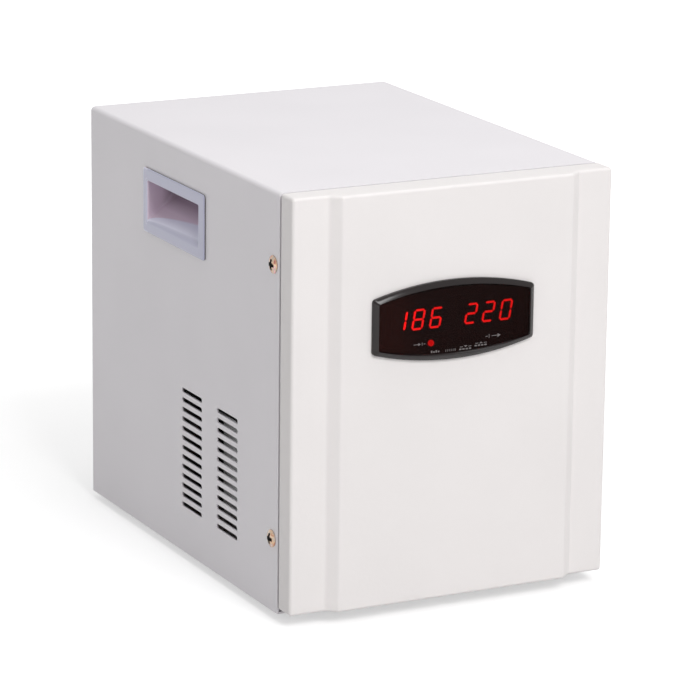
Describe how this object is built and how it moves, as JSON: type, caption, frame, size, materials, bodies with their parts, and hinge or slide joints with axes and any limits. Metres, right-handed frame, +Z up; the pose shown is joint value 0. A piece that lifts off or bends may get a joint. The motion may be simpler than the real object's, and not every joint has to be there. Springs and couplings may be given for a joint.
{
  "type": "voltage stabilizer",
  "caption": "Desktop servo voltage stabilizer: steel cabinet, stepped front panel, barrel-shaped display, side vents, recessed side handles and rear sockets.",
  "frame": {"origin": "on the floor, under the middle of the whole object's bounding box", "axes": "+Z up, the display faces -Y, +X is to the right when the display is seen from the front"},
  "size_m": [0.226, 0.336, 0.27],
  "materials": {
    "cover_paint": "fine textured powder coat, satin",
    "front_paint": "orange-peel powder coat, satin",
    "bare_steel": "grey primer, satin",
    "handle_plastic": "lavender grey moulded plastic",
    "gold_zinc": "yellow zinc plate",
    "bright_zinc": "bright zinc plate",
    "foot_rubber": "matt moulded rubber",
    "bezel_plastic": "glossy near-black with a red tint",
    "smoked_window": "smoked red acrylic, glossy",
    "circuit_board": "green solder mask",
    "module_black": "matt black moulding",
    "lit_red": "lit red segment",
    "dark_red": "unlit segment",
    "lamp_red": "red epoxy",
    "lamination": "varnished silicon steel",
    "copper_winding": "enamelled copper",
    "insulation": "phenolic board",
    "hub_metal": "turned",
    "brass_parts": "turned brass",
    "arm_plastic": "glass-filled moulding",
    "carbon": "graphite",
    "gear_nylon": "nylon",
    "motor_can": "zinc-plated can",
    "switch_plastic": "blue-black moulding",
    "relay_blue": "moulded case",
    "capacitor_sleeve": "dark sleeve",
    "breaker_grey": "moulded case",
    "black_plastic": "black moulding",
    "socket_plastic": "black moulding",
    "button_red": "red moulding"
  },
  "bodies": {
    "cabinet": {"cover": "cover_paint", "front_panel": "front_paint", "front_frame": "cover_paint", "rear_panel": "cover_paint", "base_tray": "cover_paint", "handle_left": "handle_plastic", "handle_right": "handle_plastic", "cover_screws": "gold_zinc", "rear_screws": "bright_zinc", "base_screws": "bright_zinc", "panel_screws": "bright_zinc", "feet": "foot_rubber", "foot_fixings": "bright_zinc", "display_bezel": "bezel_plastic", "display_window": "smoked_window", "display_board": "circuit_board", "input_display": "module_black", "output_display": "module_black", "lit_segments": "lit_red", "dark_segments": "dark_red", "indicator_lamps": "lamp_red", "board_spacers": "bright_zinc", "board_screws": "bright_zinc", "toroid_core": "lamination", "toroid_winding": "copper_winding", "toroid_pad": "insulation", "clamp_ring": "insulation", "hub_column": "hub_metal", "hub_nut": "brass_parts", "shaft_bushes": "brass_parts", "servo_motor": "motor_can", "motor_bridge": "bare_steel", "limit_switches": "switch_plastic", "transformer_core": "lamination", "transformer_winding": "copper_winding", "transformer_clamps": "bare_steel", "transformer_bolts": "bright_zinc", "control_board": "circuit_board", "control_relays": "relay_blue", "control_capacitors": "capacitor_sleeve", "control_pillars": "brass_parts", "trimmer_body": "relay_blue", "breaker_body": "breaker_grey", "output_sockets": "socket_plastic", "socket_bases": "black_plastic", "cable_gland": "black_plastic", "button_housing": "black_plastic", "earth_stud": "brass_parts"},
    "brush_carrier": {"brush_shaft": "bright_zinc", "brush_arm": "arm_plastic", "brush_spring": "bright_zinc", "brush_cap": "insulation", "drive_gear": "gear_nylon"},
    "brush": {"carbon_brush": "carbon"},
    "pinion": {"motor_pinion": "brass_parts"},
    "toggle": {"breaker_toggle": "black_plastic"},
    "button": {"delay_button": "button_red"},
    "lever_left": {"limit_lever_left": "bright_zinc"},
    "lever_right": {"limit_lever_right": "bright_zinc"},
    "trimmer": {"trimmer_screw": "brass_parts"}
  },
  "joints": [
    {"name": "brush_turn", "type": "hinge", "parent": "cabinet", "child": "brush_carrier", "pos_m": [0, -0.03585, 0.077], "axis": [0, 0, 1], "range_deg": [-154, 154]},
    {"name": "pinion_spin", "type": "hinge", "parent": "cabinet", "child": "pinion", "pos_m": [0.045, -0.03585, 0.089], "axis": [0, 0, 1], "range_deg": [-620, 620]},
    {"name": "brush_lift", "type": "slide", "parent": "brush_carrier", "child": "brush", "axis": [0, 0, 1], "range_m": [0, 0.0025], "stiffness_N_per_m": 150, "springref_m": -0.004, "deforming": ["brush_spring"]},
    {"name": "breaker_switch", "type": "hinge", "parent": "cabinet", "child": "toggle", "pos_m": [-0.068, 0.14395, 0.155], "axis": [1, 0, 0], "range_deg": [-48, 0]},
    {"name": "delay_press", "type": "slide", "parent": "cabinet", "child": "button", "axis": [0, -1, 0], "range_m": [0, 0.003], "stiffness_N_per_m": 300, "springref_m": -0.001},
    {"name": "limit_left_press", "type": "hinge", "parent": "cabinet", "child": "lever_left", "pos_m": [-0.0115, 0.03685, 0.0868], "axis": [0, 0, 1], "range_deg": [0, 7], "stiffness_Nm_per_rad": 0.02, "springref_deg": -2.86},
    {"name": "limit_right_press", "type": "hinge", "parent": "cabinet", "child": "lever_right", "pos_m": [0.0115, 0.03685, 0.0868], "axis": [0, 0, -1], "range_deg": [0, 7], "stiffness_Nm_per_rad": 0.02, "springref_deg": -2.86},
    {"name": "trimmer_turn", "type": "hinge", "parent": "cabinet", "child": "trimmer", "pos_m": [0.0372, -0.03585, 0.1452], "axis": [0, 0, 1], "range_deg": [-135, 135]}
  ],
  "couplings": [
    {"joint": "pinion_spin", "follows": "brush_turn", "ratio": -4}
  ]
}
